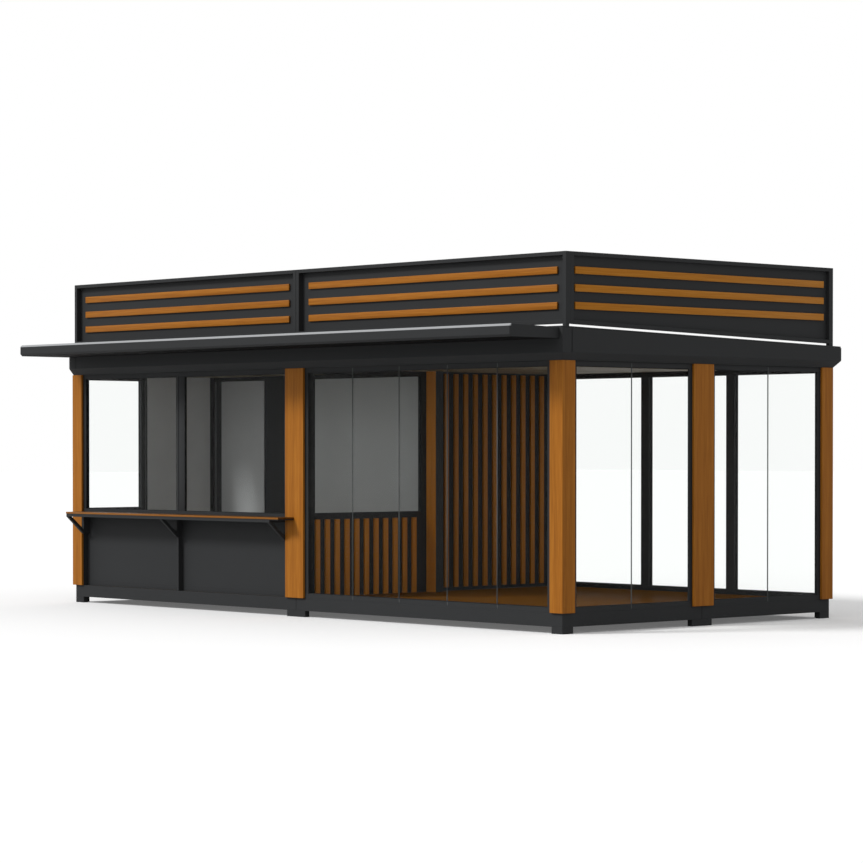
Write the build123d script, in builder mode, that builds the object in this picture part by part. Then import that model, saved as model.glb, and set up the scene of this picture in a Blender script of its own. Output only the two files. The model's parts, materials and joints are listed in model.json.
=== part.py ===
from build123d import *
import os

# Street kiosk of four equal floor modules, two along the front and two behind them.
# The left half holds a serving room with a store behind it, the right half is a glazed seating room.
# +X runs to the right along the front, +Y to the back, +Z up. The origin is the middle of the
# whole plan, canopy included, at ground level. All sizes are in millimetres.

os.makedirs("parts", exist_ok=True)

# Plan
base_length = 8000
base_depth = 4000
module_seam = 4
roof_overhang = 88
left_overhang = 8
canopy_reach = 750
canopy_overhang = 40

# Base and floor
foot_height = 67
base_height = 135
floor_board = 22
floor_rim = 60

# Posts and their timber cladding
post_side = 150
post_wall = 60
cladding = 28
centre_post_depth = 110
centre_facing = 6

# Room height and the profiles along floor and ceiling
room_height = 2445
track_height = 50
track_depth = 60
jamb_recess = 4
jamb_depth = 14
jamb_width = 47
lock_jamb_width = 60
glass = 10
glass_gap = 3
front_glass_start = 20
front_glass_end = 56
side_glass_start = 20
near_joint = 839
far_joint = 886
back_light_post_width = 115
back_light_post_depth = 70
back_light_shift = 30
front_panes = 5

# Walls, sills and window frames
sill_above_floor = 890
sill_rail = 62
mullion_width = 28
mullion_offset = -60
wall_panel = 40
left_wall_recess = 20
left_window_width = 756
left_window_frame = 89
lining_board = 12
lining_over_post = 82
partition_window_start = 288
partition_window_end = 163
cross_wall_jamb = 149
middle_panel_start = 959
middle_panel_width = 937
middle_panel_recess = 8

# Roof
roof_beam_height = 312
roof_beam_width = 188
fascia_chamfer_height = 72
fascia_chamfer_depth = 60
roof_fall = 0.025
roof_deck = 60
ceiling_board = 30

# Canopy
canopy_front_height = 125
canopy_rise = 20
canopy_bevel = 22

# Parapet screens
parapet_height = 737
parapet_gap = 42
parapet_left_overhang = 20
parapet_right_overhang = 46
parapet_post = 46
parapet_end_post = 62
parapet_rail = 38
parapet_sheet = 4
front_screen_depth = 64
side_screen_depth = 44
strip_height = 70
strip_edge_gap = 104
strip_thickness = 22
strip_count = 3
front_strip_gap = 115
side_strip_near_gap = 38
side_strip_far_gap = 66

# Counter
counter_top = 1060
counter_board = 30
counter_reach = 250
bracket_width = 40
bracket_bar = 25
bracket_reach = 245
bracket_drop = 200

# Slats on the partition
slat_width = 62
slat_depth = 25
dado_slat_start = 279
dado_slat_pitch = 140
wall_slat_end_gap = 124
wall_slat_pitch = 150
wall_slat_foot_gap = 40
wall_slat_head_gap = 20

# Places that follow from the sizes above
x_left = (canopy_overhang - roof_overhang - base_length) / 2
x_right = x_left + base_length
x_middle = (x_left + x_right) / 2
y_front = (canopy_reach - base_depth - roof_overhang) / 2
y_back = y_front + base_depth
y_middle = (y_front + y_back) / 2
base_top = foot_height + base_height
roof_underside = base_top + room_height
sill_top = base_top + sill_above_floor
sill_bottom = sill_top - sill_rail
track_top = base_top + track_height
head_bottom = roof_underside - track_height
fascia_front = y_front - roof_overhang
fascia_back = y_back + roof_overhang
fascia_left = x_left - left_overhang
fascia_right = x_right + roof_overhang
roof_top_front = roof_underside + roof_beam_height
parapet_top = roof_top_front + parapet_height


def roof_top(y):
    """Height of the roof's top face at the given distance from the front."""
    return roof_top_front - roof_fall * (y - fascia_front)


def block(x, y, z, mode=Mode.ADD):
    """Add or cut one block between the low and high values along each axis."""
    spans = [sorted(pair) for pair in (x, y, z)]
    with Locations(tuple((low + high) / 2 for low, high in spans)):
        Box(*[high - low for low, high in spans], mode=mode)


def save(part, name):
    """Label a finished piece and write it under its name."""
    part.label = name
    export_step(part, f"parts/{name}.step")


corners = (
    (x_left, y_front, 1, 1),
    (x_right, y_front, -1, 1),
    (x_left, y_back, 1, -1),
    (x_right, y_back, -1, -1),
)
inner_face_left = x_left + post_wall
inner_face_right = x_right - post_wall
inner_face_front = y_front + post_wall
inner_face_back = y_back - post_wall
middle_x = (x_middle - post_side, x_middle + post_side)
middle_y = (y_middle - post_side, y_middle + post_side)


def corner_angles(z):
    """Add an upright steel angle at each of the four corners."""
    for x, y, x_in, y_in in corners:
        block((x, x + x_in * post_side), (y, y + y_in * post_wall), z)
        block((x, x + x_in * post_wall), (y, y + y_in * post_side), z)


def middle_flats(z):
    """Add the two posts side by side, as one flat block, where two modules meet on each side."""
    block(middle_x, (y_front, inner_face_front), z)
    block(middle_x, (inner_face_back, y_back), z)
    block((x_left, inner_face_left), middle_y, z)
    block((inner_face_right, x_right), middle_y, z)


# Feet under the posts, and under the crossing of the four modules
with BuildPart() as base_feet:
    corner_angles((0, foot_height))
    middle_flats((0, foot_height))
    block(middle_x, middle_y, (0, foot_height))
save(base_feet.part, "base_feet")

# Four floor modules with a narrow seam between them, and a rim around the floor boards
seam_side = module_seam / 2
floor_left = x_left + floor_rim
floor_right = x_right - floor_rim
floor_front = y_front + floor_rim
floor_back = y_back - floor_rim
floor_z = (base_top - floor_board, base_top)
with BuildPart() as base_modules:
    for x_span in ((x_left, x_middle - seam_side), (x_middle + seam_side, x_right)):
        for y_span in ((y_front, y_middle - seam_side), (y_middle + seam_side, y_back)):
            block(x_span, y_span, (foot_height, base_top))
    block((floor_left, floor_right), (floor_front, floor_back), floor_z, Mode.SUBTRACT)
save(base_modules.part, "base_modules")

# Floors
floors = {
    "serving_room_floor": ((floor_left, x_middle), (floor_front, y_middle)),
    "store_room_floor": ((floor_left, x_middle), (y_middle, floor_back)),
    "seating_room_floor": ((x_middle, floor_right), (floor_front, floor_back)),
}
for name, (x_span, y_span) in floors.items():
    with BuildPart() as floor:
        block(x_span, y_span, floor_z)
    save(floor.part, name)

# Angle-shaped steel posts at the four corners
post_z = (base_top, roof_underside)
with BuildPart() as corner_posts:
    corner_angles(post_z)
save(corner_posts.part, "corner_posts")

# Double posts where two modules meet
with BuildPart() as middle_posts:
    middle_flats(post_z)
save(middle_posts.part, "middle_posts")

# Post at the crossing of the four modules, on the seating side of the partition
centre_post_y = y_middle - centre_post_depth
centre_post_x = (x_middle, x_middle + post_side)
with BuildPart() as centre_post:
    block(centre_post_x, (centre_post_y, y_middle), post_z)
save(centre_post.part, "centre_post")

# Timber facing on the front of the centre post
with BuildPart() as centre_post_facing:
    block(centre_post_x, (centre_post_y - centre_facing, centre_post_y), post_z)
save(centre_post_facing.part, "centre_post_facing")

# Timber cladding round the outer faces of the corner posts
with BuildPart() as corner_post_cladding:
    for x, y, x_in, y_in in corners:
        x_out, y_out = x - x_in * cladding, y - y_in * cladding
        block((x_out, x), (y_out, y + y_in * post_side), post_z)
        block((x, x + x_in * post_side), (y_out, y), post_z)
save(corner_post_cladding.part, "corner_post_cladding")

# Timber cladding on the outer face of the double posts
with BuildPart() as middle_post_cladding:
    block(middle_x, (y_front - cladding, y_front), post_z)
    block(middle_x, (y_back, y_back + cladding), post_z)
    block((x_left - cladding, x_left), middle_y, post_z)
    block((x_right, x_right + cladding), middle_y, post_z)
save(middle_post_cladding.part, "middle_post_cladding")

# Clear bays between the posts, and where the profiles stand in them
bay_left = (x_left + post_side, x_middle - post_side)
bay_right = (x_middle + post_side, x_right - post_side)
bay_near = (y_front + post_side, y_middle - post_side)
bay_far = (y_middle + post_side, y_back - post_side)
front_track = (y_front, y_front + track_depth)
back_track = (y_back - track_depth, y_back)
right_track = (x_right - track_depth, x_right)
left_track = (x_left, x_left + track_depth)
front_rail = (inner_face_front, inner_face_front + track_depth)
back_rail = (inner_face_back - track_depth, inner_face_back)
partition_face = x_middle - slat_depth
partition_wall = (partition_face - track_depth, partition_face)
partition_board = (partition_face - wall_panel, partition_face)
cross_wall_back = y_middle + wall_panel

mullion_x = (x_left + x_middle) / 2 + mullion_offset
mullion = (mullion_x - mullion_width / 2, mullion_x + mullion_width / 2)
serving_bays = ((bay_left[0], mullion[0]), (mullion[1], bay_left[1]))
front_walls = ((inner_face_left, mullion[0]), (mullion[1], partition_wall[0]))
back_walls = ((inner_face_left, mullion[0]), (mullion[1], partition_board[0]))
partition_window = (y_front + partition_window_start, y_middle - partition_window_end)
left_window = (bay_near[0], bay_near[0] + left_window_width)
left_frame = (left_window[1], left_window[1] + left_window_frame)

# Profiles along the floor and under the roof in every bay
for name, z_span in (("bottom_tracks", (base_top, track_top)), ("top_tracks", (head_bottom, roof_underside))):
    with BuildPart() as tracks:
        block(bay_right, front_track, z_span)
        block(bay_right, back_track, z_span)
        for y_span in (bay_near, bay_far):
            block(right_track, y_span, z_span)
            block(left_track, y_span, z_span)
        for x_span in back_walls:
            block(x_span, back_rail, z_span)
        if name == "bottom_tracks":
            for x_span in front_walls:
                block(x_span, front_rail, z_span)
        else:
            for x_span in serving_bays:
                block(x_span, front_track, z_span)
            block(partition_wall, partition_window, z_span)
            block((inner_face_left, partition_wall[0]), (y_middle, cross_wall_back), z_span)
    save(tracks.part, name)

# Sill rails under the windows
sill_z = (sill_bottom, sill_top)
with BuildPart() as window_sills:
    for x_span in serving_bays:
        block(x_span, front_track, sill_z)
    for x_span in front_walls:
        block(x_span, front_rail, sill_z)
    block(left_track, left_window, sill_z)
    block(partition_wall, partition_window, sill_z)
save(window_sills.part, "window_sills")

# Upright members beside the windows and at the free edge of the cross wall
jamb_front = (y_front + jamb_recess, y_front + jamb_recess + jamb_depth)
jamb_right = (x_right - jamb_recess - jamb_depth, x_right - jamb_recess)
window_z = (sill_top, head_bottom)
with BuildPart() as wall_jambs:
    for low, high in serving_bays:
        block((low, low + jamb_width), jamb_front, window_z)
        block((high - jamb_width, high), jamb_front, window_z)
    block(left_track, left_frame, (track_top, head_bottom))
    block(partition_wall, (inner_face_front, partition_window[0]), post_z)
    block(partition_wall, (partition_window[1], y_middle), post_z)
    block((inner_face_left, inner_face_left + cross_wall_jamb), (y_middle, cross_wall_back),
          (base_top, head_bottom))
save(wall_jambs.part, "wall_jambs")

# Mullions in the serving front and the store's back wall, and the two slim posts between the back lights
light = (bay_right[1] - bay_right[0] - 2 * back_light_post_width) / 3
first_light_post = bay_right[0] + light + back_light_shift
light_posts = [first_light_post, first_light_post + light + back_light_post_width]
back_light_y = (y_back - back_light_post_depth, y_back)
glass_z = (track_top, head_bottom)
with BuildPart() as wall_mullions:
    block(mullion, (y_front, front_rail[1]), post_z)
    block(mullion, (back_rail[0], y_back), post_z)
    for x in light_posts:
        block((x, x + back_light_post_width), back_light_y, glass_z)
save(wall_mullions.part, "wall_mullions")

# Front wall under the serving window, in two panels beside the mullion
wall_front = (inner_face_front, inner_face_front + wall_panel)
with BuildPart() as front_wall_panels:
    for x_span in front_walls:
        block(x_span, wall_front, (track_top, sill_bottom))
save(front_wall_panels.part, "front_wall_panels")

# Fixed glass of the serving window, the left window and the partition window
glass_front = (jamb_front[1], jamb_front[1] + glass)
glass_side = (jamb_right[0] - glass, jamb_right[0])
glass_behind = jamb_recess + jamb_depth
left_glass = (x_left + glass_behind, x_left + glass_behind + glass)
partition_glass = (partition_face - glass_behind - glass, partition_face - glass_behind)
with BuildPart() as window_glass:
    for x_span in serving_bays:
        block(x_span, glass_front, window_z)
    block(left_glass, left_window, window_z)
    block(partition_glass, partition_window, window_z)
save(window_glass.part, "window_glass")

# Folding glass along the front of the seating room, in equal panes with a narrow gap at each joint
front_glass = (bay_right[0] + front_glass_start, bay_right[1] - front_glass_end)
pane_pitch = (front_glass[1] - front_glass[0]) / front_panes
half_gap = glass_gap / 2
with BuildPart() as front_glass_panels:
    for index in range(front_panes):
        pane_left = front_glass[0] + index * pane_pitch
        block((pane_left + half_gap, pane_left + pane_pitch - half_gap), glass_front, glass_z)
save(front_glass_panels.part, "front_glass_panels")

# Folding glass along the right side, two panes in each bay
with BuildPart() as right_glass_panels:
    for bay, joint in ((bay_near, bay_near[0] + near_joint), (bay_far, bay_far[0] + far_joint)):
        block(glass_side, (bay[0] + side_glass_start, joint - half_gap), glass_z)
        block(glass_side, (joint + half_gap, bay[1] - side_glass_start), glass_z)
save(right_glass_panels.part, "right_glass_panels")

# Jambs in front of the outer edges of the folding glass
with BuildPart() as glass_jambs:
    block((bay_right[0], bay_right[0] + jamb_width), jamb_front, glass_z)
    block((bay_right[1] - lock_jamb_width, bay_right[1]), jamb_front, glass_z)
    for low, high in (bay_near, bay_far):
        block(jamb_right, (low, low + jamb_width), glass_z)
        block(jamb_right, (high - jamb_width, high), glass_z)
save(glass_jambs.part, "glass_jambs")

# Back wall of the seating room: three fixed lights beside the slim posts
glass_back = (y_back - glass_behind - glass, y_back - glass_behind)
with BuildPart() as back_glass_panels:
    block((bay_right[0], light_posts[0]), glass_back, glass_z)
    block((light_posts[0] + back_light_post_width, light_posts[1]), glass_back, glass_z)
    block((light_posts[1] + back_light_post_width, bay_right[1]), glass_back, glass_z)
save(back_glass_panels.part, "back_glass_panels")

# Left wall: closed panels under and behind the window
left_wall = (x_left + left_wall_recess, inner_face_left)
with BuildPart() as left_wall_panels:
    block(left_wall, left_window, (track_top, sill_bottom))
    block(left_wall, (left_frame[1], bay_near[1]), (track_top, head_bottom))
    block(left_wall, bay_far, (track_top, head_bottom))
save(left_wall_panels.part, "left_wall_panels")

# Lining of the serving room behind the left window, lapped over the double post
lining_x = (inner_face_left, inner_face_left + lining_board)
with BuildPart() as left_wall_lining:
    block(lining_x, (left_frame[1], bay_near[1] + lining_over_post), post_z)
save(left_wall_lining.part, "left_wall_lining")

# Back wall of the store room
back_wall = (inner_face_back - wall_panel, inner_face_back)
with BuildPart() as back_wall_panels:
    for x_span in back_walls:
        block(x_span, back_wall, glass_z)
save(back_wall_panels.part, "back_wall_panels")

# Wall between the serving room and the store room: two light panels beside a dark one
middle_panel_left = inner_face_left + middle_panel_start
middle_panel = (middle_panel_left, middle_panel_left + middle_panel_width)
cross_wall_z = (base_top, head_bottom)
with BuildPart() as cross_wall_light_panels:
    block((inner_face_left + cross_wall_jamb, middle_panel[0]), (y_middle, cross_wall_back), cross_wall_z)
    block((middle_panel[1], partition_wall[0]), (y_middle, cross_wall_back), cross_wall_z)
save(cross_wall_light_panels.part, "cross_wall_light_panels")

with BuildPart() as cross_wall_middle_panel:
    block(middle_panel, (y_middle + middle_panel_recess, cross_wall_back), cross_wall_z)
save(cross_wall_middle_panel.part, "cross_wall_middle_panel")

# Partition to the seating room: a dado under its window in front, a closed wall behind
with BuildPart() as partition_panels:
    block(partition_board, partition_window, (base_top, sill_bottom))
    block(partition_board, (y_middle, inner_face_back), post_z)
save(partition_panels.part, "partition_panels")

slat_x = (partition_face, partition_face + slat_depth)
dado_start = y_front + dado_slat_start
dado_slat_count = int((partition_window[1] - dado_start - slat_width) // dado_slat_pitch) + 1
with BuildPart() as dado_slats:
    for index in range(dado_slat_count):
        y = dado_start + index * dado_slat_pitch
        block(slat_x, (y, y + slat_width), (base_top, sill_bottom))
save(dado_slats.part, "dado_slats")

wall_slat_z = (base_top + wall_slat_foot_gap, roof_underside - wall_slat_head_gap)
last_slat = bay_far[1] - wall_slat_end_gap - slat_width
wall_slat_count = int((last_slat - y_middle) // wall_slat_pitch) + 1
with BuildPart() as wall_slats:
    for index in range(wall_slat_count):
        y = last_slat - index * wall_slat_pitch
        block(slat_x, (y, y + slat_width), wall_slat_z)
save(wall_slats.part, "wall_slats")

# Roof beams with the fascia face and the chamfer under it, mitred at the right corners.
# The left beam is flush with the wall and runs through to both fascia faces.
inner_left = x_left + roof_beam_width - roof_overhang
inner_right = fascia_right - roof_beam_width
inner_front = fascia_front + roof_beam_width
inner_back = fascia_back - roof_beam_width
fall_plane = Plane(origin=(0, fascia_front, roof_top_front), x_dir=(1, 0, 0), z_dir=(0, roof_fall, 1))
beam_outline = [
    (0, 0),
    (roof_beam_width - fascia_chamfer_depth, 0),
    (roof_beam_width, fascia_chamfer_height),
    (roof_beam_width, roof_beam_height),
    (0, roof_beam_height),
]
along_front = fascia_right - inner_left
roof_sides = {
    "front": (
        Plane(origin=(fascia_right, inner_front, roof_underside), x_dir=(0, -1, 0), z_dir=(-1, 0, 0)),
        along_front,
        ((fascia_right, fascia_front, -1, -1),),
    ),
    "back": (
        Plane(origin=(inner_left, inner_back, roof_underside), x_dir=(0, 1, 0), z_dir=(1, 0, 0)),
        along_front,
        ((fascia_right, fascia_back, -1, 1),),
    ),
    "right": (
        Plane(origin=(inner_right, fascia_back, roof_underside), x_dir=(1, 0, 0), z_dir=(0, -1, 0)),
        fascia_back - fascia_front,
        ((fascia_right, fascia_front, 1, 1), (fascia_right, fascia_back, 1, -1)),
    ),
}
for side, (plane, length, corner_cuts) in roof_sides.items():
    with BuildPart() as roof_beam:
        with BuildSketch(plane):
            with BuildLine():
                Polyline(*beam_outline, close=True)
            make_face()
        extrude(amount=length)
        for x, y, x_side, y_side in corner_cuts:
            split(bisect_by=Plane(origin=(x, y, 0), z_dir=(x_side, y_side, 0)), keep=Keep.TOP)
        split(bisect_by=fall_plane, keep=Keep.BOTTOM)
    save(roof_beam.part, f"roof_beam_{side}")

chamfer_top = roof_underside + fascia_chamfer_height
with BuildPart() as roof_beam_left:
    with BuildSketch(Plane(origin=(fascia_left, 0, 0), x_dir=(0, 1, 0), z_dir=(1, 0, 0))):
        with BuildLine():
            Polyline(
                (fascia_front, chamfer_top),
                (fascia_front + fascia_chamfer_depth, roof_underside),
                (fascia_back - fascia_chamfer_depth, roof_underside),
                (fascia_back, chamfer_top),
                (fascia_back, roof_top(fascia_back)),
                (fascia_front, roof_top_front),
                close=True,
            )
        make_face()
    extrude(amount=inner_left - fascia_left)
save(roof_beam_left.part, "roof_beam_left")

with BuildPart() as roof_deck_sheet:
    with BuildSketch(Plane(origin=(inner_left, 0, 0), x_dir=(0, 1, 0), z_dir=(1, 0, 0))):
        with BuildLine():
            Polyline(
                (inner_front, roof_top(inner_front) - roof_deck),
                (inner_back, roof_top(inner_back) - roof_deck),
                (inner_back, roof_top(inner_back)),
                (inner_front, roof_top(inner_front)),
                close=True,
            )
        make_face()
    extrude(amount=inner_right - inner_left)
save(roof_deck_sheet.part, "roof_deck")

ceiling_z = (roof_underside, roof_underside + ceiling_board)
with BuildPart() as ceiling:
    block((inner_left, inner_right), (inner_front, inner_back), ceiling_z)
save(ceiling.part, "ceiling")

# Canopy over the front, with a bright trim along its upper front edge
canopy_front = y_front - canopy_reach
canopy_top = roof_top_front + canopy_rise
canopy_bottom = canopy_top - canopy_front_height
canopy_end = Plane(origin=(x_left - canopy_overhang, 0, 0), x_dir=(0, 1, 0), z_dir=(1, 0, 0))
canopy_length = base_length + 2 * canopy_overhang
with BuildPart() as canopy:
    with BuildSketch(canopy_end):
        with BuildLine():
            Polyline(
                (canopy_front, canopy_bottom + canopy_bevel),
                (canopy_front + canopy_bevel, canopy_bottom),
                (fascia_front, canopy_bottom),
                (fascia_front, roof_top_front),
                (canopy_front + canopy_bevel, canopy_top),
                (canopy_front + canopy_bevel, canopy_top - canopy_bevel),
                (canopy_front, canopy_top - canopy_bevel),
                close=True,
            )
        make_face()
    extrude(amount=canopy_length)
save(canopy.part, "canopy")

with BuildPart() as canopy_edge_trim:
    with BuildSketch(canopy_end):
        with BuildLine():
            Polyline(
                (canopy_front, canopy_top - canopy_bevel),
                (canopy_front + canopy_bevel, canopy_top - canopy_bevel),
                (canopy_front + canopy_bevel, canopy_top),
                close=True,
            )
        make_face()
    extrude(amount=canopy_length)
save(canopy_edge_trim.part, "canopy_edge_trim")

# Parapet screens above the roof: posts and rails round a recessed sheet, on legs over a narrow gap
screen_left = x_left - parapet_left_overhang
screen_right = x_right + parapet_right_overhang
screen_bottom = roof_top(y_front) + parapet_gap
rail_underside = parapet_top - parapet_rail
front_screens = ((screen_left, x_middle - seam_side), (x_middle + seam_side, screen_right))
front_frame_y = (y_front, y_front + front_screen_depth)
front_sheet_y = (front_frame_y[1] - parapet_sheet, front_frame_y[1])
side_faces = ((screen_left, 1), (screen_right, -1))
side_frame_y = (front_frame_y[1], y_back)
side_sheet_y = (side_frame_y[0] + parapet_post, side_frame_y[1] - parapet_end_post)
side_recess = side_screen_depth - parapet_sheet

with BuildPart() as parapet_front_posts:
    for low, high in front_screens:
        for post_x in ((low, low + parapet_post), (high - parapet_post, high)):
            block(post_x, front_frame_y, (screen_bottom, parapet_top))
            block(post_x, (y_front, y_front + parapet_post), (roof_underside, screen_bottom))
    split(bisect_by=fall_plane, keep=Keep.TOP)
save(parapet_front_posts.part, "parapet_front_posts")

with BuildPart() as parapet_side_posts:
    for x_face, x_in in side_faces:
        post_x = (x_face, x_face + x_in * side_screen_depth)
        near_bottom = roof_top(side_frame_y[0]) + parapet_gap
        block(post_x, (side_frame_y[0], side_sheet_y[0]), (near_bottom, parapet_top))
        block(post_x, (side_sheet_y[1], y_back), (roof_underside, parapet_top))
    split(bisect_by=fall_plane, keep=Keep.TOP)
save(parapet_side_posts.part, "parapet_side_posts")


def above_roof(y, height):
    """A point of a side view at the given height over the roof's falling top."""
    return (y, roof_top(y) + height)


sheet_bottom = parapet_gap + parapet_rail
rail_outline = [
    above_roof(side_sheet_y[0], parapet_gap),
    above_roof(side_sheet_y[1], parapet_gap),
    above_roof(side_sheet_y[1], sheet_bottom),
    above_roof(side_sheet_y[0], sheet_bottom),
]
sheet_outline = [
    above_roof(side_sheet_y[0], sheet_bottom),
    above_roof(side_sheet_y[1], sheet_bottom),
    (side_sheet_y[1], rail_underside),
    (side_sheet_y[0], rail_underside),
]
with BuildPart() as parapet_rails:
    for low, high in front_screens:
        rail_x = (low + parapet_post, high - parapet_post)
        block(rail_x, front_frame_y, (screen_bottom, screen_bottom + parapet_rail))
        block(rail_x, front_frame_y, (rail_underside, parapet_top))
    for x_face, x_in in side_faces:
        rail_x = (x_face, x_face + x_in * side_screen_depth)
        block(rail_x, side_sheet_y, (rail_underside, parapet_top))
        with BuildSketch(Plane(origin=(x_face, 0, 0), x_dir=(0, 1, 0), z_dir=(1, 0, 0))):
            with BuildLine():
                Polyline(*rail_outline, close=True)
            make_face()
        extrude(amount=x_in * side_screen_depth)
save(parapet_rails.part, "parapet_rails")

with BuildPart() as parapet_sheets:
    for low, high in front_screens:
        sheet_x = (low + parapet_post, high - parapet_post)
        block(sheet_x, front_sheet_y, (screen_bottom + parapet_rail, rail_underside))
    for x_face, x_in in side_faces:
        sheet_plane = Plane(origin=(x_face + x_in * side_recess, 0, 0), x_dir=(0, 1, 0), z_dir=(1, 0, 0))
        with BuildSketch(sheet_plane):
            with BuildLine():
                Polyline(*sheet_outline, close=True)
            make_face()
        extrude(amount=x_in * parapet_sheet)
save(parapet_sheets.part, "parapet_sheets")

# Timber strips on the sheets of the parapet screens, evenly spaced up the front sheets
strip_high = rail_underside - strip_edge_gap
strip_low = screen_bottom + parapet_rail + strip_edge_gap
strip_pitch = (strip_high - strip_low - strip_height) / (strip_count - 1)
front_strip_y = (front_sheet_y[0] - strip_thickness, front_sheet_y[0])
side_strip_y = (side_sheet_y[0] + side_strip_near_gap, side_sheet_y[1] - side_strip_far_gap)
strip_inset = parapet_post + front_strip_gap
with BuildPart() as parapet_strips:
    for index in range(strip_count):
        strip_top = strip_high - index * strip_pitch
        strip_z = (strip_top - strip_height, strip_top)
        for low, high in front_screens:
            block((low + strip_inset, high - strip_inset), front_strip_y, strip_z)
        for x_face, x_in in side_faces:
            sheet_x = x_face + x_in * side_recess
            block((sheet_x - x_in * strip_thickness, sheet_x), side_strip_y, strip_z)
save(parapet_strips.part, "parapet_strips")

# Counter under the serving window
counter_underside = counter_top - counter_board
counter_z = (counter_underside, counter_top)
with BuildPart() as counter:
    block((bay_left[0], x_middle), (y_front - counter_reach, y_front - cladding), counter_z)
    block(bay_left, (y_front - cladding, y_front), counter_z)
save(counter.part, "counter_board")

# Welded counter frame: three brackets of an arm, a leg and a brace, joined by a front bar
bracket_tip = y_front - bracket_reach
bracket_leg = y_front - bracket_bar
arm_underside = counter_underside - bracket_bar
bracket_foot = arm_underside - bracket_drop
brackets = (
    (bay_left[0], wall_front[0]),
    (mullion_x - bracket_width / 2, y_front),
    (bay_left[1] - bracket_width, wall_front[0]),
)
with BuildPart() as counter_frame:
    for x, leg_back in brackets:
        with BuildSketch(Plane(origin=(x, 0, 0), x_dir=(0, 1, 0), z_dir=(1, 0, 0))):
            with BuildLine():
                Polyline(
                    (bracket_tip, counter_underside),
                    (bracket_tip, arm_underside),
                    (bracket_leg, bracket_foot),
                    (leg_back, bracket_foot),
                    (leg_back, counter_underside),
                    close=True,
                )
            make_face()
            with BuildLine():
                Polyline(
                    (bracket_tip + 2 * bracket_bar, arm_underside),
                    (bracket_leg, arm_underside),
                    (bracket_leg, bracket_foot + 2 * bracket_bar),
                    close=True,
                )
            make_face(mode=Mode.SUBTRACT)
        extrude(amount=bracket_width)
    block(bay_left, (bracket_tip, bracket_tip + bracket_bar), (arm_underside, counter_underside))
save(counter_frame.part, "counter_frame")
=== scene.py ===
import json
from math import radians

import bmesh
import bpy
import numpy as np
from mathutils import Matrix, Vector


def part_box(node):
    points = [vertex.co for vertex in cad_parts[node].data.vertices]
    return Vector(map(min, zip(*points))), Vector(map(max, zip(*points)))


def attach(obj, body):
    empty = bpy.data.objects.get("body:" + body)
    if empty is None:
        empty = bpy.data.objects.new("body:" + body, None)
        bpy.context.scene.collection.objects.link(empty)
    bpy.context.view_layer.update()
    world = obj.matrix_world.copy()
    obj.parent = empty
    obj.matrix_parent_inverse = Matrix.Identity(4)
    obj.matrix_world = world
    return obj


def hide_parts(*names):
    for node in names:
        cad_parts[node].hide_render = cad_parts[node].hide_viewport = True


# Looks of the street kiosk: powder-coated steel, stained timber, clear glass and plain lining boards.
# Lengths are in metres in the part's own frame: +X right along the front, +Y back, +Z up.
X, Y, Z = 0, 1, 2
MM = 0.001

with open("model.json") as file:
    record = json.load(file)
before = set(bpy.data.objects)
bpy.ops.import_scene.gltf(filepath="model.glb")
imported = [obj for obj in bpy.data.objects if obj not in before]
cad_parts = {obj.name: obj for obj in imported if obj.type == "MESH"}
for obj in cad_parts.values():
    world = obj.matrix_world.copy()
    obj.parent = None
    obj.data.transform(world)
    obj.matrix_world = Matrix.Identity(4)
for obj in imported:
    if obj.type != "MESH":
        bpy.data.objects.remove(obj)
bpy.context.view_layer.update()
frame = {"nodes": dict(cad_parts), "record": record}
nodes = frame["nodes"]

# Camera: a long lens low in front of the right corner, as the photograph was taken
CAMERA_PLACE = (23.629, -21.449, 1.8035)
CAMERA_HEADING = 47.41
CAMERA_PITCH = -0.842
CAMERA_LENS = 120.56
CAMERA_SENSOR = 36.0
CAMERA_SHIFT_UP = 0.0678
CAMERA_REACH = 500.0

# Finishes, as sRGB hex values
ANTHRACITE = "2D2E2F"
ANTHRACITE_PALE = "333435"
TIMBER_DARK = "7E4811"
TIMBER_MID = "A0621B"
TIMBER_PALE = "BA7A2C"
# Timber inside the seating room: the post timber painted lighter, standing for light that the room's shade takes
# away
INNER_PAINTED_LIGHT_MID = "C27A26"
INNER_PAINTED_LIGHT_PALE = "D08C3A"
BATTEN_DARK = "8A5216"
BATTEN_MID = "AA6A20"
BATTEN_PALE = "BE8030"
# Parapet side strips: the front strips' timber painted lighter, to offset the shade on the side faces
SIDE_STRIP_PAINTED_LIGHT_MID = "B97722"
SIDE_STRIP_PAINTED_LIGHT_PALE = "C98A3A"
FLOOR_DARK = "563612"
FLOOR_MID = "644016"
FLOOR_PALE = "744C1E"
# Counter top: oiled timber darkened to paint the canopy's shade on it; the palest tone also edges the front
COUNTER_PAINTED_SHADE_DARK = "4C2E10"
COUNTER_PAINTED_SHADE_MID = "5A3816"
COUNTER_PALE = "6A4520"
EDGING_MID = "8E5A20"
LINING_GREY = "C0C2C3"
# The left wall's lining: the board's grey painted lighter, for light that the shaded serving room lacks
WALL_LINING_PAINTED_LIGHT = "E0E2E3"
CEILING_BEIGE = "7C715B"
PLYWOOD_BROWN = "7A5C3C"
MEMBRANE_GREY = "6F7274"
# Pale grey for the canopy's top front edge: a painted highlight
EDGE_HIGHLIGHT_GREY = "96989A"
# Mid grey for thin strips that paint highlights on dark frames
HIGHLIGHT_STRIP_GREY = "5C5E60"
SEAL_GREY = "464949"
GASKET_BLACK = "141516"
# Black for the sheet under the canopy: painted shade
UNDERSIDE_SHADE_BLACK = "0E0E0F"
STUDIO_WHITE = "F4F4F4"
STUDIO_GREY = "A6A6A6"
PLAIN_WHITE = (1, 1, 1, 1)

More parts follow.
